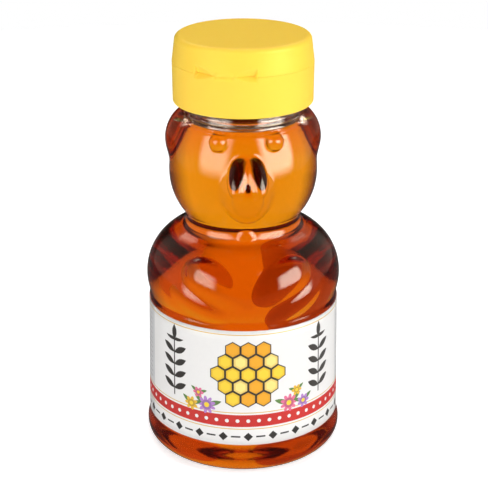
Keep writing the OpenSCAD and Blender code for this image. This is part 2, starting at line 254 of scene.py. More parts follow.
def placed(name, data):
    """A new object for a mesh, lamp or camera, linked into the scene."""
    made = bpy.data.objects.new(name, data)
    bpy.context.scene.collection.objects.link(made)
    return made


def smooth_piece(name, mesh):
    mesh.shade_smooth()
    return placed(name, mesh)


def look(piece, place, ahead):
    """Puts a lamp or camera in its place, looking ahead."""
    piece.location = place
    piece.rotation_mode = "QUATERNION"
    piece.rotation_quaternion = ahead.to_track_quat("-Z", "Y")


def grid_mesh(name, rings, first_pole=None, last_pole=None, loop=False, turn_out=False):
    """A closed mesh from rings of points, each ring closed on itself, in millimetres.
    It ends in a pole at each end, or joins its last ring to its first. Where the rings
    run down the outside, turn_out turns the faces outward."""
    rings = np.asarray(rings, float)
    rows, columns = rings.shape[:2]
    points = [rings.reshape(-1, 3)]
    faces = []
    lower = np.arange(columns)
    upper = np.roll(lower, -1)
    for row in range(rows if loop else rows - 1):
        a, b = row * columns, (row + 1) % rows * columns
        faces.append(np.stack([a + lower, a + upper, b + upper, b + lower], 1))
    quads = np.concatenate(faces).tolist()
    triangles = []
    if not loop:
        points += [np.array([first_pole, last_pole], float)]
        first, last = rows * columns, rows * columns + 1
        triangles = [[first, upper[i], lower[i]] for i in range(columns)]
        end = (rows - 1) * columns
        triangles += [[last, end + lower[i], end + upper[i]] for i in range(columns)]
    mesh = bpy.data.meshes.new(name)
    mesh.from_pydata((np.concatenate(points) * MM).tolist(), [], quads + triangles)
    mesh.validate()
    if turn_out:
        mesh.flip_normals()
    return smooth_piece(name, mesh)


def ring(theta, radius, z):
    """A ring of points about the axis. Radius and height may change round it."""
    radius, z = np.broadcast_to(radius, theta.shape), np.broadcast_to(z, theta.shape)
    return np.stack([radius * np.cos(theta), radius * np.sin(theta), z], 1)


def bear_rings(theta, rows, inwards):
    """Rings up the jar's side: the turned body with the bear's forms set in it, moved inwards."""
    rings = []
    for z in rows:
        level = np.full_like(theta, z)
        reach = side_radius(level, inwards)
        for oval in OVALS:
            reach = smooth_max(reach, oval.reach(theta, level, inwards), oval.fillet)
        rings.append(ring(theta, reach, z))
    return rings


# Heights of the rows up the jar's side: wide on the panel, close on the shoulder and the head
SIDE_ROWS = np.concatenate([
    spaced(FOOT_ROUND + 0.6, FOOT_H - 0.6, 0.8),
    spaced(FOOT_H - 0.6, FOOT_H + 0.8, 0.35),
    spaced(FOOT_H + 0.8, PANEL_TOP, 3.3),
    spaced(PANEL_TOP, 73.0, 0.42),
    spaced(73.0, 83.0, 0.5),
    spaced(83.0, NECK_ROOT - 1, 0.36),
])


def base_dome(inwards):
    """The base from near its centre to the foot ring, as (radius, height), moved inwards."""
    foot = FOOT_R - FOOT_ROUND - REST_W
    dome_r = (foot * foot + DOME_H * DOME_H) / (2 * DOME_H)
    across = np.linspace(2.0, foot - 0.6, 7)
    dome = np.stack([across, DOME_H - dome_r + np.sqrt(dome_r ** 2 - across ** 2) + inwards], 1)
    start = FOOT_R - FOOT_ROUND
    ring_flat = [[foot, 0.12 + inwards], [foot + 0.5, 0.02 + inwards], [foot + 1, inwards], [start, inwards]]
    return np.concatenate([dome, ring_flat, arc((start, FOOT_ROUND), FOOT_ROUND - inwards, -80, -2, 9)])


def jar_shell():
    """The blown wall: outside up to the rim, and back down inside."""
    theta = front_columns()
    rings = [ring(theta, r, z) for r, z in base_dome(0)]
    rings += bear_rings(theta, SIDE_ROWS, 0)
    # The neck's outside, from its root over the transfer ring to the rim
    root, rim = NECK_ROOT, JAR_RIM
    ring_low, ring_high = root + RING_UP, root + RING_UP + RING_H
    for r, z in (
        (19.45, root - 0.95), (18.98, root - 0.45), (18.55, root - 0.12), (18.15, root + 0.1),
        (17.96, root + 0.4), (NECK_R, root + 0.9), (NECK_R + 0.06, ring_low - 0.12),
        (18.4, ring_low + 0.1), (18.75, ring_low + 0.35), (RING_R, ring_low + 0.75),
        (RING_R, ring_high - 0.7), (18.75, ring_high - 0.32), (18.35, ring_high - 0.08),
        (18.02, ring_high + 0.15), (NECK_R, ring_high + 0.6), (NECK_R, 118.0), (NECK_R, 121.0),
        (NECK_R, rim - 0.5), (NECK_R - 0.15, rim - 0.13), (NECK_R - 0.45, rim),
    ):
        rings.append(ring(theta, smooth_max(r, ear_reach(theta, z, 0), EAR_BLEND), z))
    # Its bore, down to where the inside opens out into the head and the ears
    bore = NECK_R - NECK_WALL
    rings += [ring(theta, r, z) for r, z in (
        (bore + 0.4, rim), (bore + 0.12, rim - 0.1), (bore, rim - 0.45), (bore, 121.0), (bore, 116.0),
        (bore, root + 1.2), (bore + 0.15, root + 0.5),
    )]
    for r, z in ((bore + 0.6, root - 0.1), (17.6, root - 0.62), (18.4, root - 1.0)):
        rings.append(ring(theta, smooth_max(r, ear_reach(theta, z, SKIN), EAR_BLEND), z))
    rings += bear_rings(theta, SIDE_ROWS[::2][::-1], SKIN)
    rings += [ring(theta, r, z) for r, z in base_dome(SKIN)[::-1]]
    return grid_mesh("jar_shell", rings, [0, 0, DOME_H], [0, 0, DOME_H + SKIN])


def ear_top(theta):
    """The height that honey clinging in the ears reaches, at each angle round the jar."""
    top = np.full_like(theta, HONEY_TOP)
    for z in np.arange(HONEY_TOP, HONEY_TOP + 6, 0.1):
        top = np.where(ear_reach(theta, z, HONEY_IN) > NECK_R + 0.6, z, top)
    return top


def honey_fill():
    """The honey, from the base up to its level below the neck, and clinging in the ears."""
    theta = front_columns()
    rings = [ring(theta, r, z) for r, z in base_dome(HONEY_IN)]
    rings += bear_rings(theta, SIDE_ROWS, HONEY_IN)
    in_ears = ear_top(theta) - HONEY_TOP
    edge = NECK_R - 0.35
    for share in (0.02, 0.15, 0.3, 0.45, 0.6, 0.75, 0.88, 0.97):
        level = HONEY_TOP - 0.3 * (1 - share) + in_ears * share
        reach = np.maximum(edge - 0.1 * share, ear_reach(theta, level, HONEY_IN))
        rings.append(ring(theta, reach, level))
    rings.append(ring(theta, edge - 0.12, HONEY_TOP + in_ears * 0.9))
    # The level hollows a little from the edge to the middle
    hollow = 0.5
    for share, drop in ((0.975, 0.1), (0.95, 0.25), (0.9, 0.42), (0.75, hollow), (0.4, hollow)):
        rings.append(ring(theta, edge * share, HONEY_TOP - drop))
    return grid_mesh("honey_fill", rings, [0, 0, DOME_H + HONEY_IN], [0, 0, HONEY_TOP - hollow])


def wrap_label():
    """A thin sheet of paper round the panel, with its ends a little apart at the back."""
    gap = math.radians(BARE_HALF)
    theta = np.linspace(math.pi / 2 + gap, 5 * math.pi / 2 - gap, 260)
    heights = np.linspace(LABEL_LOW, LABEL_HIGH, 12)
    columns, rows = len(theta), len(heights)
    under = np.interp(heights, [FOOT_H, PANEL_TOP], [PANEL_R, PANEL_TOP_R]) + GLUE_T
    points = np.concatenate([
        ring(theta, r + thick, z) for thick in (LABEL_T, 0) for r, z in zip(under, heights)
    ])
    back = rows * columns
    faces = []
    for i in range(rows - 1):
        for j in range(columns - 1):
            a, b = i * columns + j, (i + 1) * columns + j
            faces.append([a, a + 1, b + 1, b])
            faces.append([back + a, back + b, back + b + 1, back + a + 1])
    high = (rows - 1) * columns
    for j in range(columns - 1):
        faces.append([j, back + j, back + j + 1, j + 1])
        faces.append([high + j, high + j + 1, back + high + j + 1, back + high + j])
    for i in range(rows - 1):
        a, b = i * columns, (i + 1) * columns
        faces.append([a, b, back + b, back + a])
        end = columns - 1
        faces.append([a + end, back + a + end, back + b + end, b + end])
    mesh = bpy.data.meshes.new("wrap_label")
    mesh.from_pydata((points * MM).tolist(), [], faces)
    # The label's own map: millimetres round from the middle of the face, and up from its lower edge
    uv = mesh.uv_layers.new(name="label_map")
    loops = np.zeros(len(mesh.loops), np.int32)
    mesh.loops.foreach_get("vertex_index", loops)
    around = np.tile((theta - 3 * math.pi / 2) * PANEL_R, 2 * rows)
    up = np.tile(np.repeat(heights - LABEL_LOW, columns), 2)
    uv.data.foreach_set("uv", np.stack([around[loops], up[loops]], 1).astype(np.float32).ravel())
    back_faces = np.zeros(len(mesh.polygons), np.int32)
    back_faces[1:2 * (rows - 1) * (columns - 1):2] = 1
    mesh.polygons.foreach_set("material_index", back_faces)
    return smooth_piece("wrap_label", mesh)


def closure_columns():
    """Angles round the closure from its front, even in width across the thumb notch."""
    edges = [LIP_EDGE, NOTCH_HALF_W]
    walls = [side * (edge + off) for side in (-1, 1) for edge in edges for off in (-0.07, -0.02, 0.02, 0.07)]
    plain = [x for x in np.linspace(-FINE_HALF_W, FINE_HALF_W, 97) if min(abs(x - w) for w in walls) > 0.1]
    front = np.arcsin(np.array(sorted(plain + walls)) / CAP_R)
    end = math.asin(FINE_HALF_W / CAP_R)
    back = spaced(end, 2 * math.pi - end, math.radians(2.4))[1:]
    return np.concatenate([front, back])


COLUMNS = closure_columns()
AROUND = (COLUMNS + math.pi) % (2 * math.pi) - math.pi


def notch_depth(x, y, z):
    """How deep the thumb notch goes in behind the closure's side at a point of it."""
    run = (np.abs(x) - LIP_HALF_W) / (NOTCH_HALF_W - LIP_HALF_W)
    y_start = -math.sqrt(CAP_R ** 2 - LIP_HALF_W ** 2)
    y_stop = -math.sqrt(CAP_R ** 2 - NOTCH_HALF_W ** 2) + NOTCH_D
    rise = z - PARTING
    slope = np.where(rise > 0, NOTCH_UP, NOTCH_DOWN)
    valley = y_start + run * (y_stop - y_start) - NOTCH_D * np.abs(rise) / slope
    depth = smooth_max(valley - y, np.zeros_like(y), 0.22) - 0.055 * (np.abs(valley - y) < 0.22)
    wall = (NOTCH_HALF_W - np.abs(x)) * NOTCH_D / NOTCH_DRAFT
    return np.maximum(smooth_min(np.maximum(depth, 0), wall, 0.25), 0.0)


def lip_flare(x, z):
    """How far the plain lip in the middle of the notch stands out, or the recess under it goes in."""
    middle = 1 - smooth_step(np.abs(x), LIP_EDGE - 0.7, LIP_EDGE + 0.5)
    up, down = z - LID_LOW, PARTING - z
    flare = LIP_PROUD * (1 - smooth_step(up, 0.2, LIP_H))
    dip = RECESS_D * (1 - smooth_step(down, 0.3, RECESS_H + 0.5))
    return middle * np.where(z > PARTING, flare, -dip)


def side_ring(radius, z):
    """A ring of the closure's side, with the thumb notch in front and the flat at the back."""
    near = np.abs(AROUND) < math.asin((FINE_HALF_W + 0.5) / CAP_R)
    x = np.sin(AROUND) * np.where(near, CAP_R, radius)
    front_y = -np.sqrt(np.maximum(radius ** 2 - x ** 2, 0))
    y = np.where(near, front_y, -np.cos(AROUND) * radius)
    level = np.full_like(x, z)
    y = np.where(near, y + notch_depth(x, y, level) - lip_flare(x, level), y)
    y = smooth_min(y, np.full_like(y, FLAT_Y), 0.12)
    return np.stack([x, y, level], 1)


def plain_ring(radius, z, front=None, back=None):
    """A turned ring of the closure. Front and back limit how far it goes towards the notch and the hinge."""
    x, y = np.sin(AROUND) * radius, -np.cos(AROUND) * radius
    if front is not None:
        y = np.maximum(y, -front)
    if back is not None:
        y = np.minimum(y, back)
    return np.stack([x, y, np.broadcast_to(z, x.shape)], 1)


def between(outer, inner, share, z):
    """A ring part of the way from one ring to another, at its own height."""
    made = outer + (inner - outer) * share
    made[:, 2] = z
    return made


def turn_closed(rings):
    """Turns rings of the closure to where the tightened closure stands."""
    c, s = math.cos(CLOSED_TURN), math.sin(CLOSED_TURN)
    turn = np.array([[c, -s, 0], [s, c, 0], [0, 0, 1]])
    return np.asarray(rings) @ turn.T


def flip_lid():
    """The lid: top, rounded edge, side with the thumb notch, and inside with its sealing pin."""
    rings = [plain_ring(r, LID_TOP) for r in (3.0, 7.0, 11.0, 15.0, 18.0, 19.2)]
    rings += [plain_ring(r, z, None, FLAT_Y) for r, z in
              arc((LID_TOP_R - LID_ROUND, LID_TOP - LID_ROUND), LID_ROUND, 86, 6, 9)]
    side_top = LID_TOP - LID_ROUND
    heights = np.concatenate([
        np.linspace(side_top, PARTING + 3.7, 4), np.linspace(PARTING + 3.55, LID_LOW + 0.03, 28),
    ])
    slope = (CAP_R - LID_TOP_R) / (side_top - LID_LOW)
    rings += [side_ring(CAP_R - slope * (z - LID_LOW), z) for z in heights]
    edge = side_ring(CAP_R - 0.02, LID_LOW)
    hollow = CAP_R - CAP_WALL
    ceiling = LID_TOP - LID_TOP_T
    inner_low = plain_ring(hollow, LID_LOW, PAD_Y, FLAT_Y - CAP_WALL)
    rings += [between(edge, inner_low, share, LID_LOW) for share in (0.03, 0.5, 0.97)]
    rings.append(between(edge, inner_low, 1.0, LID_LOW + 0.06))
    inside_top = LID_TOP_R - CAP_WALL
    for share in (0.3, 0.6, 0.9):
        r = hollow + (inside_top - hollow) * share
        rings.append(plain_ring(r, LID_LOW + (ceiling - LID_LOW) * share, PAD_Y, FLAT_Y - CAP_WALL))
    rings += [plain_ring(r, z, PAD_Y - 0.1, FLAT_Y - CAP_WALL - 0.1) for r, z in
              arc((inside_top - 0.7, ceiling - 0.6), 0.6, 10, 90, 4)]
    rings += [plain_ring(r, ceiling) for r in (15.5, 12.0, 8.0, 5.0)]
    rings += [plain_ring(r, z) for r, z in arc((PIN_R + 0.5, ceiling - 0.5), 0.5, 90, 180, 4)]
    lip = PARTING + SPOUT_H
    rings += [plain_ring(r, z) for r, z in arc((0, lip), PIN_R, 0, -80, 8)]
    return grid_mesh("flip_lid", turn_closed(rings), [0, 0, LID_TOP], [0, 0, lip - PIN_R], turn_out=True)


def closure_base():
    """The closure's lower part: spout, deck, snap ring, outer skirt and the inner skirt for the thread."""
    deck_top, deck_low = PARTING - DECK_DROP, PARTING - DECK_DROP - DECK_T
    lip = PARTING + SPOUT_H
    rings = [plain_ring(r, z) for r, z in (
        (POUR_R, lip - 0.35), (POUR_R + 0.1, lip - 0.1), (POUR_R + 0.35, lip), (SPOUT_LIP_R - 0.35, lip),
        (SPOUT_LIP_R - 0.06, lip - 0.12), (SPOUT_LIP_R + 0.06, lip - 0.4), (4.6, lip - 2.4),
        (5.05, deck_top + 0.7), (5.25, deck_top + 0.25), (5.6, deck_top + 0.04), (6.2, deck_top),
        (10, deck_top), (15, deck_top),
    )]
    # The snap ring stands on the step round the deck, between its two gaps
    front_gap, back_gap = math.radians(SNAP_GAP_FRONT), math.radians(SNAP_GAP_BACK)
    stands = smooth_step(np.abs(AROUND), front_gap, front_gap + 0.05)
    stands = stands * smooth_step(math.pi - np.abs(AROUND), back_gap, back_gap + 0.05)
    edge = side_ring(CAP_R - 0.2, PARTING)
    snap_in = SNAP_R - SNAP_WALL
    foot = plain_ring(DECK_R, PARTING)
    for r, up in (
        (snap_in - 0.3, None), (snap_in - 0.06, 0.1), (snap_in, 0.4), (snap_in + 0.02, SNAP_H - 0.25),
        (snap_in + 0.2, SNAP_H), (SNAP_R - 0.25, SNAP_H), (SNAP_R - 0.02, SNAP_H - 0.3),
        (SNAP_R, 0.3), (SNAP_R + 0.08, 0.08), (SNAP_R + 0.25, 0),
    ):
        share = (r - DECK_R) / (CAP_R - 0.2 - DECK_R)
        rings.append(between(foot, edge, share, deck_top if up is None else PARTING + up * stands))
    rings += [between(foot, edge, 0.96, PARTING), edge]
    # The outer skirt's side, from the parting line down to its rounded lower edge
    heights = np.concatenate([
        [PARTING - 0.03], np.linspace(PARTING - 0.1, PARTING - 2.3, 19), [122.0, 118.5, SKIRT_LOW + 0.75],
    ])
    slope = (CAP_R - SKIRT_R) / (PARTING - SKIRT_LOW)
    for z in heights:
        drawn_in = 0.02 if z == heights[0] else 0
        rings.append(side_ring(CAP_R - drawn_in - slope * (PARTING - z), z))
    rings += [side_ring(r, z) for r, z in arc((SKIRT_R - 0.6, SKIRT_LOW + 0.6), 0.6, -10, -80, 5)]
    inside = SKIRT_R - CAP_WALL
    back = FLAT_Y - CAP_WALL
    # Up inside it to the corner, down and up the inner skirt, and in under the deck to the pouring hole
    corner, skirt_end = PARTING - CORNER_H, SKIRT_LOW + 1
    rings += [plain_ring(r, z, None, back) for r, z in (
        (inside + 0.15, SKIRT_LOW), (inside, SKIRT_LOW + 0.15), (inside + 0.03, 120.0),
        (inside + 0.08, corner - 0.2), (inside - 0.1, corner), (THREAD_OUT_R + 0.15, corner),
        (THREAD_OUT_R, corner - 0.15), (THREAD_OUT_R, 120.0), (THREAD_OUT_R, skirt_end + 0.15),
        (THREAD_OUT_R - 0.15, skirt_end), (THREAD_IN_R + 0.15, skirt_end), (THREAD_IN_R, skirt_end + 0.15),
        (THREAD_IN_R, 120.0), (THREAD_IN_R, deck_low - 0.3), (THREAD_IN_R - 0.3, deck_low), (15, deck_low),
        (8, deck_low), (POUR_R + 0.4, deck_low), (POUR_R + 0.1, deck_low + 0.1), (POUR_R, deck_low + 0.4),
        (POUR_R, 130.0),
    )]
    return grid_mesh("closure_base", turn_closed(rings), loop=True, turn_out=True)


def hinge_film():
    """The thin film that joins lid and skirt: thicker straps above and below a thinner groove."""
    across = np.linspace(-FILM_W / 2, FILM_W / 2, 24)
    heights = np.linspace(-FILM_H / 2, FILM_H / 2, 33)
    groove = GROOVE_SHARE * np.exp(-(heights / GROOVE_HALF) ** 2)
    flat = FLAT_Y + 0.02
    outer = [(flat + FILM_T * (1 - g), h) for h, g in zip(heights, groove)]
    outline = [(flat, h) for h in heights] + outer[::-1]
    rings = [[[x, y, PARTING + h] for y, h in outline] for x in across]
    ends = turn_closed([[x, FLAT_Y + FILM_T / 2, PARTING] for x in across[[0, -1]]])
    return grid_mesh("hinge_film", turn_closed(rings), *ends, turn_out=True)


class Socket:
    """A value or colour in a node tree, with Python's operators as its Math nodes."""

    def __init__(self, nodes, socket):
        self.nodes, self.socket = nodes, socket

    def __add__(self, other):
        return self.nodes.maths("ADD", self, other)

    def __sub__(self, other):
        return self.nodes.maths("SUBTRACT", self, other)

    def __rsub__(self, other):
        return self.nodes.maths("SUBTRACT", other, self)

    def __mul__(self, other):
        return self.nodes.maths("MULTIPLY", self, other)

    def __truediv__(self, other):
        return self.nodes.maths("DIVIDE", self, other)

    def __pow__(self, other):
        return self.nodes.maths("POWER", self, other)

    def __abs__(self):
        return self.nodes.maths("ABSOLUTE", self)

    def __lt__(self, other):
        return self.nodes.maths("LESS_THAN", self, other)

    def __gt__(self, other):
        return self.nodes.maths("GREATER_THAN", self, other)

    def at_least(self, other):
        return self.nodes.maths("MAXIMUM", self, other)


def opaque(colour):
    """A plain colour with its alpha, or a socket as it is."""
    return (*colour, 1) if isinstance(colour, tuple) else colour


class Nodes:
    """A node tree, built by expressions."""

    def __init__(self, tree, out_kind):
        self.tree = tree
        tree.nodes.clear()
        self.out = tree.nodes.new(out_kind)

    def node(self, kind, settings=None, inputs=None, output=0):
        """Any node: its type, its settings, and the values or links of its sockets."""
        made = self.tree.nodes.new(kind)
        for name, value in (settings or {}).items():
            setattr(made, name, value)
        for name, value in (inputs or {}).items():
            if isinstance(value, Socket):
                self.tree.links.new(value.socket, made.inputs[name])
            else:
                made.inputs[name].default_value = value
        return Socket(self, made.outputs[output])

    def maths(self, operation, *values):
        return self.node("ShaderNodeMath", {"operation": operation}, dict(enumerate(values)))

    def place(self):
        return self.node("ShaderNodeTexCoord", output="Object")

    def axis(self, vector, name):
        return self.node("ShaderNodeSeparateXYZ", None, {"Vector": vector}, name)

    def mix(self, factor, a, b):
        """Colour a where factor is 0 and b where it is 1."""
        return self.node("ShaderNodeMix", {"data_type": "RGBA"}, {0: factor, 6: opaque(a), 7: opaque(b)}, 2)

    def spread(self, value, low, high, to_low, to_high, curve="LINEAR"):
        """A value moved from one range into another, and kept in it."""
        inputs = {"Value": value, "From Min": low, "From Max": high, "To Min": to_low, "To Max": to_high}
        return self.node("ShaderNodeMapRange", {"interpolation_type": curve}, inputs)


def thread_tree():
    """Geometry Nodes: a thread ridge swept along a helix, thinning out at both its ends."""
    tree = bpy.data.node_groups.new("thread_ridge", "GeometryNodeTree")
    face = tree.interface
    face.new_socket("Geometry", in_out="OUTPUT", socket_type="NodeSocketGeometry")
    for name in ("Radius", "Turns", "Lead", "Start height", "Ridge depth", "Ridge width"):
        face.new_socket(name, in_out="INPUT", socket_type="NodeSocketFloat")
    face.new_socket("Finish", in_out="INPUT", socket_type="NodeSocketMaterial")
    nodes = Nodes(tree, "NodeGroupOutput")

    def given(name):
        return nodes.node("NodeGroupInput", output=name)

    def made(kind, inputs):
        return nodes.node(kind, None, inputs)

    # Reversed, the spiral is a right-hand helix
    helix = made("GeometryNodeCurveSpiral", {
        "Resolution": 72, "Reverse": True, "Rotations": given("Turns"),
        "Start Radius": given("Radius"), "End Radius": given("Radius"),
        "Height": given("Turns") * given("Lead"),
    })
    along = nodes.node("GeometryNodeSplineParameter", output="Factor")
    from_end = nodes.maths("MINIMUM", along, 1.0 - along)
    thinning = nodes.spread(from_end, 0.0, 0.07, 0.12, 1.0, "SMOOTHSTEP")
    helix = made("GeometryNodeSetCurveRadius", {"Curve": helix, "Radius": thinning})
    ridge = made("GeometryNodeCurvePrimitiveCircle", {"Resolution": 14, "Radius": 1.0})
    size = made("ShaderNodeCombineXYZ", {"X": given("Ridge width"), "Y": given("Ridge depth"), "Z": 1.0})
    ridge = made("GeometryNodeTransform", {"Geometry": ridge, "Scale": size})
    thread = made("GeometryNodeCurveToMesh", {"Curve": helix, "Profile Curve": ridge, "Fill Caps": True})
    lift = made("ShaderNodeCombineXYZ", {"Z": given("Start height")})
    thread = made("GeometryNodeTransform", {"Geometry": thread, "Translation": lift})
    thread = made("GeometryNodeRealizeInstances", {"Geometry": thread})
    thread = made("GeometryNodeSetMaterial", {"Geometry": thread, "Material": given("Finish")})
    tree.links.new(thread.socket, nodes.out.inputs["Geometry"])
    return tree


def from_tree(name, tree, material, **sizes):
    """The plain mesh that a node tree makes with these inputs."""
    seed = placed(name + "_seed", bpy.data.meshes.new(name + "_seed"))
    modifier = seed.modifiers.new("tree", "NODES")
    modifier.node_group = tree
    sockets = {s.name: s.identifier for s in tree.interface.items_tree if s.in_out == "INPUT"}
    for label, value in sizes.items():
        modifier[sockets[label.replace("_", " ")]] = value
    modifier[sockets["Finish"]] = material
    evaluated = seed.evaluated_get(bpy.context.evaluated_depsgraph_get())
    mesh = bpy.data.meshes.new_from_object(evaluated)
    mesh.name = name
    bpy.data.objects.remove(seed)
    return smooth_piece(name, mesh)


class Paint(Nodes):
    """One material and its surface."""

    def __init__(self, name):
        self.material = bpy.data.materials.new(name)
        self.material.use_nodes = True
        super().__init__(self.material.node_tree, "ShaderNodeOutputMaterial")

    def noise(self, vector, scale, detail=3.0):
        inputs = {"Vector": vector, "Scale": scale, "Detail": detail}
        return self.node("ShaderNodeTexNoise", None, inputs, "Fac")

    def bump(self, height, strength, distance):
        inputs = {"Height": height, "Strength": strength, "Distance": distance}
        return self.node("ShaderNodeBump", None, inputs, "Normal")

    def surface(self, **sockets):
        """The Principled shader on the material's surface."""
        inputs = {name.replace("_", " "): value for name, value in sockets.items()}
        shader = self.node("ShaderNodeBsdfPrincipled", None, inputs)
        self.tree.links.new(shader.socket, self.out.inputs["Surface"])


# How strongly each bends light. A wall that honey wets is only a thin skin of clear plastic over it
PLASTIC_BENDS, WETTED_BENDS, HONEY_BENDS = 1.57, 1.04, 1.49


def clear_plastic(name, bend):
    """Blown clear plastic: glossy, with the faint waves of a blown wall."""
    paint = Paint(name)
    place = paint.place()
    waves = paint.noise(place, 55.0, 1.0)
    paint.surface(
        Base_Color=(0.985, 0.975, 0.955, 1),
        Roughness=paint.spread(paint.noise(place, 240.0), 0.3, 0.7, 0.012, 0.035),
        IOR=bend,
        Transmission_Weight=1.0,
        Normal=paint.bump(waves, 0.03, 0.002),
    )
    return paint.material


def honey():
    """Clear amber honey: its colour comes from the depth of it that light passes."""
    paint = Paint("honey")
    place = paint.place()
    paint.surface(
        Base_Color=(1.0, 0.995, 0.985, 1),
        Roughness=paint.spread(paint.noise(place, 120.0), 0.3, 0.7, 0.04, 0.06),
        IOR=HONEY_BENDS,
        Transmission_Weight=1.0,
    )
    depth = paint.tree.nodes.new("ShaderNodeVolumeAbsorption")
    depth.inputs["Color"].default_value = (0.951, 0.832, 0.02, 1)
    depth.inputs["Density"].default_value = 122.0
    paint.tree.links.new(depth.outputs[0], paint.out.inputs["Volume"])
    return paint.material


class Print(Paint):
    """A printed sheet. Its shapes are masks, 1 inside and 0 outside, in millimetres on the label's map."""

    def __init__(self, name):
        super().__init__(name)
        place = self.node("ShaderNodeTexCoord", output="UV")
        self.across, self.up = self.axis(place, "X"), self.axis(place, "Y")

    def strip(self, value, low, high):
        return (value > low) * (value < high)

    def repeat(self, value, step):
        """The offset from the nearest multiple of a step."""
        return value - self.maths("ROUND", value / step) * step

    def disc(self, x, y, radius):
        return (x * x + y * y) < radius * radius

    def diamond(self, x, y, half):
        return (abs(x) + abs(y)) < half

    def leaf(self, x, y, length, width, lean):
        """A leaf from its stalk at 0, 0, leaning this many degrees up from the level."""
        c, s = math.cos(math.radians(lean)), math.sin(math.radians(lean))
        along, off = x * c + y * s, y * c - x * s
        return (along * (length - along) * (2 * width / length ** 2)) > abs(off)

    def flower(self, x, y, radius, petals):
        wave = abs(self.maths("COSINE", self.maths("ARCTAN2", y, x) * (petals / 2)))
        return ((x * x + y * y) ** 0.5) < (wave * (0.45 * radius) + 0.55 * radius)

    def comb(self, x, y, width):
        """Honeycomb cells: how far a point is from its cell's middle, 1 at the edge, and that middle."""
        rise = width * math.sqrt(3)
        ax, ay = self.repeat(x, width), self.repeat(y, rise)
        bx, by = self.repeat(x - width / 2, width), self.repeat(y - rise / 2, rise)
        first = (ax * ax + ay * ay) < (bx * bx + by * by)
        hx, hy = bx + first * (ax - bx), by + first * (ay - by)
        edge = abs(hx).at_least(abs(hx) * 0.5 + abs(hy) * (math.sqrt(3) / 2)) * (2 / width)
        return edge, x - hx, y - hy


def label_paper():
    """Coated white paper with a generic print: honeycomb, sprigs, flowers and a red band with dots."""
    paint = Print("label_paper")
    u, v, side = paint.across, paint.up, abs(paint.across)
    white, dark, gold = (0.71, 0.70, 0.69), (0.03, 0.027, 0.025), (0.62, 0.40, 0.09)
    red, green, yellow = (0.50, 0.022, 0.018), (0.10, 0.20, 0.05), (0.78, 0.55, 0.03)
    violet, rose, ochre = (0.40, 0.20, 0.52), (0.66, 0.14, 0.26), (0.70, 0.42, 0.03)
    fibre = paint.noise(paint.place(), 700.0)
    colour = paint.mix(fibre, white, (0.74, 0.73, 0.715))

    # Grey side panels with plain rules
    colour = paint.mix(side > 38.5, colour, (0.56, 0.56, 0.565))
    panel = paint.strip(side, 41.0, 62.0) * paint.strip(v, 13.0, 36.0)
    colour = paint.mix(paint.strip(paint.repeat(v, 1.7), -0.13, 0.13) * panel, colour, (0.25, 0.25, 0.26))

    # Sprigs on both sides of the middle
    x = side - 26.0
    pairs = paint.leaf(abs(x), paint.repeat(v - 16.6, 4.2) + 0.9, 5.6, 2.1, 28)
    pairs = pairs * paint.strip(v, 15.0, 33.6)
    stem = paint.strip(x, -0.24, 0.24) * paint.strip(v, 13.4, 33.0)
    tip = paint.leaf(x, v - 32.6, 5.4, 2.0, 90)
    colour = paint.mix(pairs.at_least(stem).at_least(tip), colour, dark)

    # Honeycomb in the middle
    x, y = u, v - 24.6
    cell = 4.9
    edge, middle_x, middle_y = paint.comb(x, y, cell)
    inside = (middle_x * middle_x + middle_y * middle_y) < (2.1 * cell) ** 2
    # Each cell's own number picks its colour
    number = paint.node("ShaderNodeCombineXYZ", None, {
        "X": paint.maths("ROUND", middle_x * (2 / cell)),
        "Y": paint.maths("ROUND", middle_y * (2 / cell / math.sqrt(3))),
        "Z": 3.0,
    })
    pick = paint.node("ShaderNodeTexWhiteNoise", None, {"Vector": number}, "Value")
    wax = paint.mix(pick > 0.35, (0.74, 0.34, 0.012), yellow)
    wax = paint.mix(pick > 0.75, wax, (0.80, 0.66, 0.20))
    wax = paint.mix((edge > 0.62) * 0.3, wax, (0.60, 0.26, 0.01))
    colour = paint.mix(inside, colour, dark)
    colour = paint.mix(inside * (edge < 0.86), colour, wax)

    # The red band with its dots, and gold keylines
    colour = paint.mix(paint.strip(v, 6.4, 10.6), colour, red)
    colour = paint.mix(paint.disc(paint.repeat(u, 3.4), v - 8.5, 0.62), colour, white)
    lines = paint.strip(v, 11.2, 11.5).at_least(paint.strip(v, 5.5, 5.8))
    colour = paint.mix(lines.at_least(paint.strip(v, 38.0, 38.3)), colour, gold)

    # A row of diamonds and short bars along the lower edge
    x, y = paint.repeat(u, 8.0), v - 2.9
    bars = paint.strip(paint.repeat(u - 4.0, 8.0), -1.5, 1.5) * paint.strip(y, -0.28, 0.28)
    colour = paint.mix(paint.diamond(x, y, 1.5).at_least(bars), colour, dark)

    # Flowers over the band: place, size, petals, and their colour on the right and on the left
    for place_x, place_y, radius, petals, ink, other in (
        (13.5, 13.2, 3.1, 9, violet, rose), (19.0, 12.6, 2.4, 7, ochre, violet),
        (16.4, 17.0, 1.9, 6, rose, ochre),
    ):
        x, y = side - place_x, v - place_y
        for lean in (35, 160):
            colour = paint.mix(paint.leaf(x, y, radius * 1.7, radius * 0.55, lean), colour, green)
        petal = paint.mix(u > 0.0, ink, other)
        petal = paint.mix(paint.disc(x, y, radius * 0.55) * 0.35, petal, dark)
        colour = paint.mix(paint.flower(x, y, radius, petals), colour, petal)
        colour = paint.mix(paint.disc(x, y, radius * 0.28), colour, yellow)

    paint.surface(
        Base_Color=colour,
        Roughness=paint.spread(paint.noise(paint.place(), 900.0), 0.3, 0.7, 0.38, 0.5),
        Normal=paint.bump(fibre, 0.05, 0.0001),
    )
    return paint.material


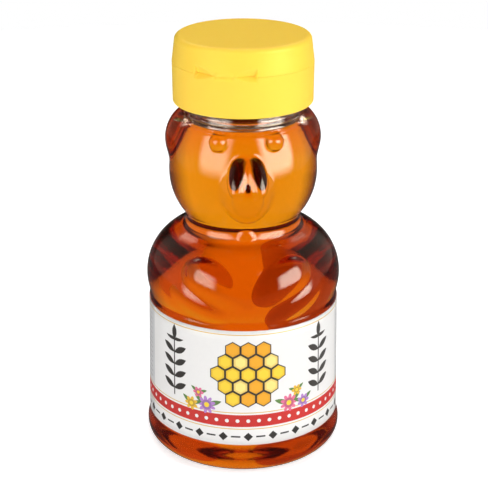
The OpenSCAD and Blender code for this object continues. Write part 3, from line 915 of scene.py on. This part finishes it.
def lit_paper():
    """The label's back, with a painted glow that stands in for light coming through the paper into the honey.
    """
    paint = Paint("lit_paper")
    fibre = paint.noise(paint.place(), 400.0)
    # The painted glow is brighter on the left and half as bright to the right
    from_left = paint.spread(paint.axis(paint.place(), "X"), 0.001, 0.008, 0.0, 1.0)
    paint.surface(
        Base_Color=paint.mix(fibre, (0.80, 0.78, 0.74), (0.86, 0.84, 0.80)),
        Roughness=0.6,
        Emission_Color=paint.mix(from_left, (1.0, 0.27, 0.15), (0.5, 0.11, 0.06)),
        Emission_Strength=0.68,
    )
    return paint.material


def cap_plastic():
    """Satin yellow moulded plastic."""
    paint = Paint("cap_plastic")
    place = paint.place()
    cloud = paint.noise(place, 30.0, 2.0)
    grain = paint.noise(place, 2600.0, 2.0)
    paint.surface(
        Base_Color=paint.mix(cloud, (0.98, 0.615, 0.055), (1.0, 0.65, 0.07)),
        Roughness=paint.spread(grain, 0.3, 0.7, 0.36, 0.46),
        Normal=paint.bump(grain, 0.08, 0.0002),
        Specular_IOR_Level=0.3,
        Subsurface_Weight=0.12,
        Subsurface_Scale=0.004,
    )
    return paint.material


def liner_foam():
    """Soft pale foam of the sealing ring."""
    paint = Paint("liner_foam")
    pores = paint.noise(paint.place(), 1500.0, 2.0)
    paint.surface(
        Base_Color=paint.mix(pores, (0.80, 0.78, 0.70), (0.90, 0.88, 0.80)),
        Roughness=0.85,
        Normal=paint.bump(pores, 0.3, 0.0002),
    )
    return paint.material


def finish(piece, material, body, replaced=()):
    """Gives a piece its material and body, and hides the nodes it stands in for."""
    if not piece.data.materials:
        piece.data.materials.append(material)
    if body:
        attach(piece, body)
    if replaced:
        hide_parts(*replaced)


def wets(face):
    """Whether honey wets a face of the jar: below its level, or beside the neck in an ear."""
    place = face.center
    beside_neck = math.hypot(place.x, place.y) > (NECK_R + 1.2) * MM and abs(place.x) > EAR_IN_X * MM
    in_ear = beside_neck and place.z < (NECK_ROOT + EAR_UP) * MM and face.normal.z < 0.98
    return place.z < (HONEY_TOP - 0.4) * MM or in_ear


def build_object():
    plastic = clear_plastic("clear_plastic", PLASTIC_BENDS)
    wetted = clear_plastic("wetted_plastic", WETTED_BENDS)
    amber, paper = honey(), label_paper()
    yellow, foam = cap_plastic(), liner_foam()
    shell = jar_shell()
    shell.data.materials.append(plastic)
    shell.data.materials.append(wetted)
    for face in shell.data.polygons:
        face.material_index = int(wets(face))
    finish(shell, plastic, "jar", ["bottle"])
    finish(honey_fill(), amber, "jar", ["honey"])
    label = wrap_label()
    label.data.materials.append(paper)
    label.data.materials.append(lit_paper())
    finish(label, paper, "jar", ["label"])
    finish(closure_base(), yellow, "closure", ["cap_body"])
    finish(flip_lid(), yellow, "lid", ["lid"])
    film = hinge_film()
    finish(film, yellow, None, ["living_hinge"])
    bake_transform(film)
    tree = thread_tree()
    # The two threads turn between each other, half a turn apart
    neck_thread = from_tree(
        "neck_thread", tree, plastic, Radius=(NECK_R + 0.05) * MM, Turns=1.5, Lead=THREAD_LEAD * MM,
        Start_height=THREAD_LOW * MM, Ridge_depth=0.78 * MM, Ridge_width=0.85 * MM,
    )
    finish(neck_thread, plastic, "jar", ())
    skirt_thread = from_tree(
        "skirt_thread", tree, yellow, Radius=(THREAD_IN_R + 0.05) * MM, Turns=1.2, Lead=THREAD_LEAD * MM,
        Start_height=(THREAD_LOW + THREAD_LEAD / 2) * MM, Ridge_depth=0.72 * MM, Ridge_width=0.75 * MM,
    )
    finish(skirt_thread, yellow, "closure", ())
    liner = frame["nodes"]["liner"]
    for material_slot in liner.material_slots:
        material_slot.material = foam


class Studio(Nodes):
    """The floor's or the world's nodes: each kind of ray may see its own light."""

    def glow(self, colour, strength, kind="ShaderNodeEmission"):
        return self.node(kind, None, {"Color": opaque(colour), "Strength": strength})

    def sky_glow(self, colour, strength):
        return self.glow(colour, strength, "ShaderNodeBackground")

    def ray(self, output):
        return self.node("ShaderNodeLightPath", output=output)

    def either(self, share, light, other):
        return self.node("ShaderNodeMixShader", None, {0: share, 1: light, 2: other})

    def by_ray(self, usual, passing, mirrored_light):
        """The usual light, what shows through the honey, and what its gloss mirrors.
        A ray that the honey's surface mirrors has only been in and out of the clear skin over it."""
        bounces, passes = self.ray("Ray Depth"), self.ray("Transmission Depth")
        mirrored_once = ((bounces - passes) > 0.5) * (passes < 5.0)
        through = self.ray("Is Transmission Ray") * (1.0 - mirrored_once)
        outside = self.either(self.ray("Is Glossy Ray"), usual, mirrored_light)
        self.tree.links.new(self.either(through, outside, passing).socket, self.out.inputs["Surface"])


def side_fade(studio, x, y):
    """1 towards the front and the back, and dim towards both sides, which draws the jar's edges."""
    across = abs(x) / ((x * x + y * y) ** 0.5).at_least(0.0001)
    return studio.spread(across, 0.6, 0.92, 1.15, 0.33)


def side_tint(studio, fade):
    """The colour of that light: pale, and warmer where it fades."""
    return studio.mix(studio.spread(fade, 0.3, 0.9, 0.0, 1.0), (1.0, 0.43, 0.25), (1.0, 0.6, 0.5))


def soft_box(sky, ray, azimuth, height, half_w, half_h, strength):
    """A big soft box that the gloss mirrors: bright in its middle, and fading out to its edges."""
    a, e = math.radians(azimuth), math.radians(height)
    ahead = Vector((math.sin(a) * math.cos(e), -math.cos(a) * math.cos(e), math.sin(e)))
    right = Vector((math.cos(a), math.sin(a), 0))

    def along(direction):
        settings = {"operation": "DOT_PRODUCT"}
        return sky.node("ShaderNodeVectorMath", settings, {0: ray, 1: direction}, "Value")

    depth = along(ahead)
    light = (depth > 0.0) * strength
    for direction, half_angle in ((right, half_w), (right.cross(ahead), half_h)):
        half = math.tan(math.radians(half_angle))
        off = abs(along(direction) / depth.at_least(0.001))
        light = light * sky.spread(off, half * 0.5, half * 1.1, 1.0, 0.0, "SMOOTHSTEP")
    return light


def build_floor():
    """A plain pale floor that has its own glow for what shows through the honey."""
    radius, sides = 0.6, 96
    mesh = bpy.data.meshes.new("floor")
    turns = [2 * math.pi * i / sides for i in range(sides)]
    edge = [(radius * math.cos(t), radius * math.sin(t), 0) for t in turns]
    mesh.from_pydata(edge, [], [list(range(sides))])
    floor = placed("floor", mesh)
    ground = bpy.data.materials.new("floor_white")
    ground.use_nodes = True
    studio = Studio(ground.node_tree, "ShaderNodeOutputMaterial")
    place = studio.place()
    x, y = studio.axis(place, "X"), studio.axis(place, "Y")
    away = (x * x + y * y) ** 0.5
    fade = side_fade(studio, x, y)
    # Painted shadow in this glow: dimmer near the jar and nearly dark right under it
    light = studio.spread(away, 0.07, 0.13, 0.55, 1.0) * studio.spread(away, 0.03, 0.06, 0.08, 1.0) * fade
    # Light for what shows between the label's ends at the back
    bare = studio.spread(abs(x), 0.008, 0.016, 0.55, 0.0) * studio.spread(y, 0.035, 0.045, 0.0, 1.0)
    light = light + bare * studio.spread(y, 0.07, 0.12, 1.0, 0.0)
    near = studio.spread(away, 0.10, 0.28, 0.0, 1.0)
    white = studio.node("ShaderNodeBsdfPrincipled", None, {
        "Base Color": (0.93, 0.93, 0.93, 1), "Roughness": 0.9, "Specular IOR Level": 0.0,
        "Emission Color": (1, 1, 1, 1), "Emission Strength": 0.55,
    })
    # Near the jar the glow is painted a warm orange
    colour = studio.mix(near, (1.0, 0.36, 0.2), side_tint(studio, fade))
    studio.by_ray(white, studio.glow(colour, light), studio.glow((1, 1, 1), 0.08))
    mesh.materials.append(ground)


def build_lights():
    """Broad soft lights above and in front, and a tall one at each side."""
    for name, size_x, size_y, power, place, aim in (
        ("overhead", 1.2, 1.2, 7.0, (0, 0.2, 1.2), (0, 0, 0)),
        ("front", 0.9, 0.7, 5.6, (0, -1.0, 0.5), (0, 0, 0.08)),
        ("left_tall", 0.3, 0.6, 1.2, (-0.6, -0.25, 0.3), (0, 0, 0.08)),
        ("right_tall", 0.35, 0.7, 2.6, (0.6, -0.3, 0.3), (0, 0, 0.08)),
    ):
        lamp = bpy.data.lights.new(name, "AREA")
        lamp.shape = "RECTANGLE"
        lamp.size, lamp.size_y, lamp.energy = size_x, size_y, power
        lit = placed(name, lamp)
        look(lit, place, Vector(aim) - Vector(place))
        lit.visible_glossy = lit.visible_transmission = False


def build_sky():
    """The world: white behind everything, a tinted glow for the honey, and soft boxes for its gloss."""
    scene = bpy.context.scene
    world = bpy.data.worlds.new("studio")
    world.use_nodes = True
    sky = Studio(world.node_tree, "ShaderNodeOutputWorld")
    ray = sky.node("ShaderNodeTexCoord", output="Generated")
    white = (1, 1, 1)
    usual = sky.either(sky.ray("Is Camera Ray"), sky.sky_glow(white, 0.12), sky.sky_glow(white, 1.0))
    # Azimuth from the front, height, half width and half height in degrees, then the strength
    boxes = [soft_box(sky, ray, *box) for box in (
        (-52, 22, 28, 30, 7.5), (56, 22, 30, 30, 15.0),
        (-112, 20, 40, 40, 0.3), (115, 20, 40, 40, 0.35),
        (180, 45, 32, 12, 4.0),
    )]
    boxes = sum(boxes[1:], boxes[0])
    fade = side_fade(sky, sky.axis(ray, "X"), sky.axis(ray, "Y"))
    sky.by_ray(usual, sky.sky_glow(side_tint(sky, fade), fade), sky.sky_glow((1.0, 0.94, 0.82), boxes + 0.02))
    scene.world = world
    scene.view_settings.view_transform = "Standard"
    scene.cycles.max_bounces = scene.cycles.transmission_bounces = 40
    scene.cycles.glossy_bounces = 12


def build_camera():
    """The camera of the photograph: a little left of the bear's face, looking down."""
    distance, height, down, round_left = 0.434, 0.2406, math.radians(21.8), math.radians(3)
    lens = bpy.data.cameras.new("camera")
    lens.lens, lens.sensor_width, lens.shift_x = 106.66, 36, 0.0018
    lens.clip_start, lens.clip_end = 0.01, 20
    camera = placed("camera", lens)
    across, along = math.sin(round_left), math.cos(round_left)
    ahead = Vector((across * math.cos(down), along * math.cos(down), -math.sin(down)))
    look(camera, (-distance * across, -distance * along, height), ahead)
    bpy.context.scene.camera = camera


build_object()
build_floor()
build_lights()
build_sky()
build_camera()
